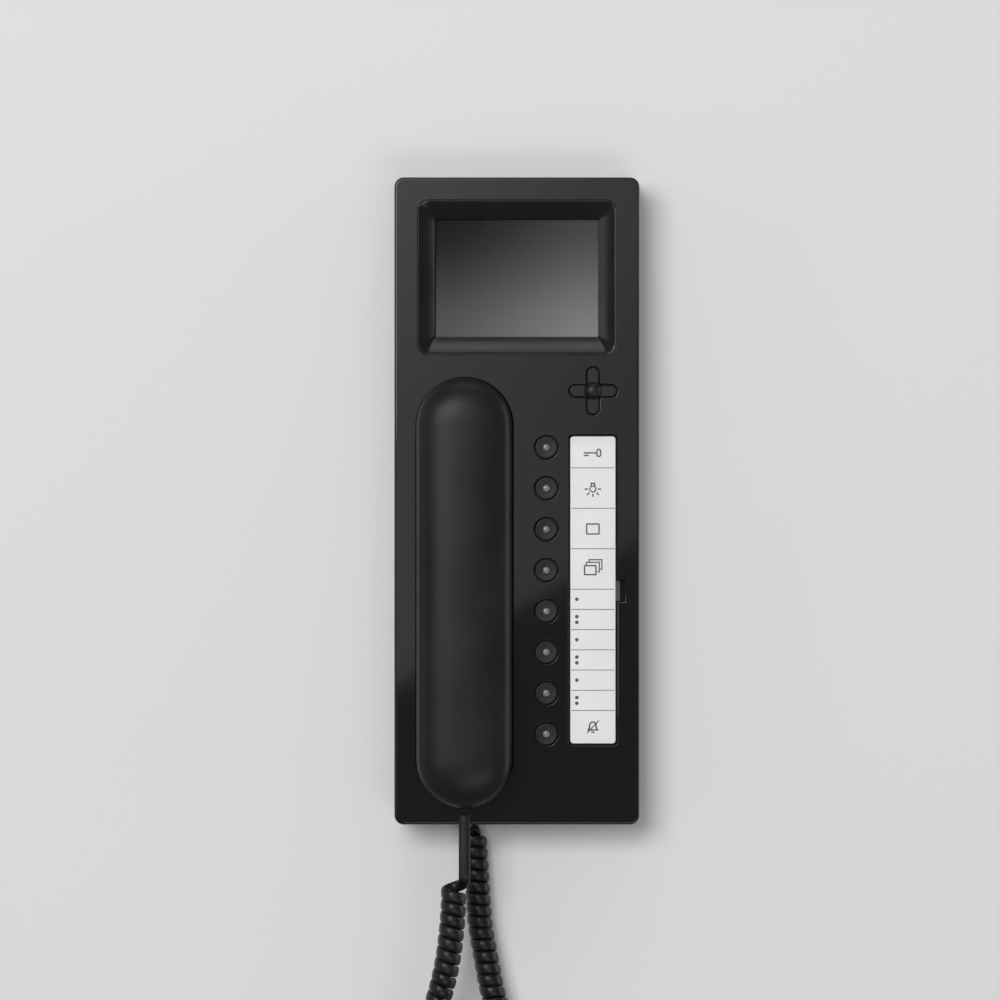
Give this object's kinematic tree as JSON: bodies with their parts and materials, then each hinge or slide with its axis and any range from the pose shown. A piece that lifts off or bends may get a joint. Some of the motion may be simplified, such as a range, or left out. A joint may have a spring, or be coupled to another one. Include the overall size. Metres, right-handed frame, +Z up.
{
  "type": "video intercom monitor",
  "caption": "Wall-mounted video door intercom with a recessed screen, lift-off handset on a curly cord, round keys, a navigation cross and a label strip.",
  "frame": {"origin": "centre of the wall plate's back face, on the wall", "axes": "+Y into the wall, -Y out of it towards the user, +Z up, +X to the user's right"},
  "size_m": [0.1093, 0.046, 0.4737],
  "materials": {
    "gloss_black": "high-gloss black moulded housing",
    "satin_black": "satin black moulded handset shell",
    "key_black": "fine satin black keys",
    "bezel_black": "gloss black screen frame",
    "lens_grey": "translucent grey light guide",
    "clear_window": "clear hard-coated window",
    "label_clear": "clear matt label cover",
    "paper": "white printed label paper",
    "plate_grey": "dark grey moulded plastic",
    "lcd": "dark display glass and backlight",
    "steel": "zinc-plated steel",
    "magnet": "nickel-plated magnet",
    "board_green": "solder-masked board",
    "component_black": "moulded component bodies",
    "flex_amber": "amber flexible circuit",
    "terminal_green": "green terminal block",
    "reed_glass": "reed switch glass",
    "brass": "brass spacers",
    "rubber_black": "soft rubber",
    "actuator_white": "translucent white actuators",
    "cord_black": "satin black flexible cord jacket",
    "plug_black": "black modular plug and boot"
  },
  "bodies": {
    "housing": {"wall_plate": "plate_grey", "terminal_block": "terminal_green", "terminal_screws": "steel", "link_connector": "component_black", "ringer_speaker": "steel", "cord_socket": "plate_grey", "main_board": "board_green", "board_components": "component_black", "reed_switch": "reed_glass", "board_screws": "steel", "board_spacers": "brass", "key_board": "board_green", "key_switches": "component_black", "switch_actuators": "actuator_white", "nav_switch": "component_black", "display_board": "board_green", "display_ribbon": "flex_amber", "lcd_frame": "steel", "lcd_panel": "lcd", "screen_window": "clear_window", "front_housing": "gloss_black", "screen_bezel": "bezel_black", "handset_cradle": "satin_black", "cradle_keepers": "steel", "label_tray": "plate_grey", "label_sheet": "paper", "cord_coil": "cord_black", "cord_lead_base": "cord_black", "cord_plug_base": "plug_black"},
    "handset": {"handset_front": "satin_black", "handset_back": "satin_black", "handset_socket": "plate_grey", "handset_screws": "steel", "handset_magnets": "magnet", "ear_capsule": "steel", "mic_capsule": "steel", "mic_boot": "rubber_black", "cord_plug_handset": "plug_black", "cord_lead_handset": "cord_black"},
    "key_1_moving": {"key_1": "key_black", "key_lens_1": "lens_grey"},
    "key_2_moving": {"key_2": "key_black", "key_lens_2": "lens_grey"},
    "key_3_moving": {"key_3": "key_black", "key_lens_3": "lens_grey"},
    "key_4_moving": {"key_4": "key_black", "key_lens_4": "lens_grey"},
    "key_5_moving": {"key_5": "key_black", "key_lens_5": "lens_grey"},
    "key_6_moving": {"key_6": "key_black", "key_lens_6": "lens_grey"},
    "key_7_moving": {"key_7": "key_black", "key_lens_7": "lens_grey"},
    "key_8_moving": {"key_8": "key_black", "key_lens_8": "lens_grey"},
    "nav_rocker": {"nav_pivot": "steel"},
    "nav_pad": {"nav_cross": "key_black"},
    "nav_centre": {"nav_dome": "key_black"},
    "label_clip": {"label_cover": "label_clear"}
  },
  "joints": [
    {"name": "handset_lift", "type": "slide", "parent": "housing", "child": "handset", "axis": [0, -1, 0], "range_m": [0, 0.06]},
    {"name": "key_1_press", "type": "slide", "parent": "housing", "child": "key_1_moving", "axis": [0, 1, 0], "range_m": [0, 0.0008], "stiffness_N_per_m": 800, "springref_m": -0.001},
    {"name": "key_2_press", "type": "slide", "parent": "housing", "child": "key_2_moving", "axis": [0, 1, 0], "range_m": [0, 0.0008], "stiffness_N_per_m": 800, "springref_m": -0.001},
    {"name": "key_3_press", "type": "slide", "parent": "housing", "child": "key_3_moving", "axis": [0, 1, 0], "range_m": [0, 0.0008], "stiffness_N_per_m": 800, "springref_m": -0.001},
    {"name": "key_4_press", "type": "slide", "parent": "housing", "child": "key_4_moving", "axis": [0, 1, 0], "range_m": [0, 0.0008], "stiffness_N_per_m": 800, "springref_m": -0.001},
    {"name": "key_5_press", "type": "slide", "parent": "housing", "child": "key_5_moving", "axis": [0, 1, 0], "range_m": [0, 0.0008], "stiffness_N_per_m": 800, "springref_m": -0.001},
    {"name": "key_6_press", "type": "slide", "parent": "housing", "child": "key_6_moving", "axis": [0, 1, 0], "range_m": [0, 0.0008], "stiffness_N_per_m": 800, "springref_m": -0.001},
    {"name": "key_7_press", "type": "slide", "parent": "housing", "child": "key_7_moving", "axis": [0, 1, 0], "range_m": [0, 0.0008], "stiffness_N_per_m": 800, "springref_m": -0.001},
    {"name": "key_8_press", "type": "slide", "parent": "housing", "child": "key_8_moving", "axis": [0, 1, 0], "range_m": [0, 0.0008], "stiffness_N_per_m": 800, "springref_m": -0.001},
    {"name": "nav_up_down", "type": "hinge", "parent": "housing", "child": "nav_rocker", "pos_m": [0.03195, -0.0223, 0.0462], "axis": [1, 0, 0], "range_deg": [-2.5, 2.5], "stiffness_Nm_per_rad": 0.1},
    {"name": "nav_left_right", "type": "hinge", "parent": "nav_rocker", "child": "nav_pad", "pos_m": [0.03195, -0.0223, 0.0462], "axis": [0, 0, 1], "range_deg": [-2.5, 2.5], "stiffness_Nm_per_rad": 0.1},
    {"name": "nav_centre_press", "type": "slide", "parent": "nav_pad", "child": "nav_centre", "axis": [0, 1, 0], "range_m": [0, 0.0006], "stiffness_N_per_m": 800, "springref_m": -0.001},
    {"name": "label_unclip", "type": "slide", "parent": "housing", "child": "label_clip", "axis": [0, -1, 0], "range_m": [0, 0.02]}
  ]
}
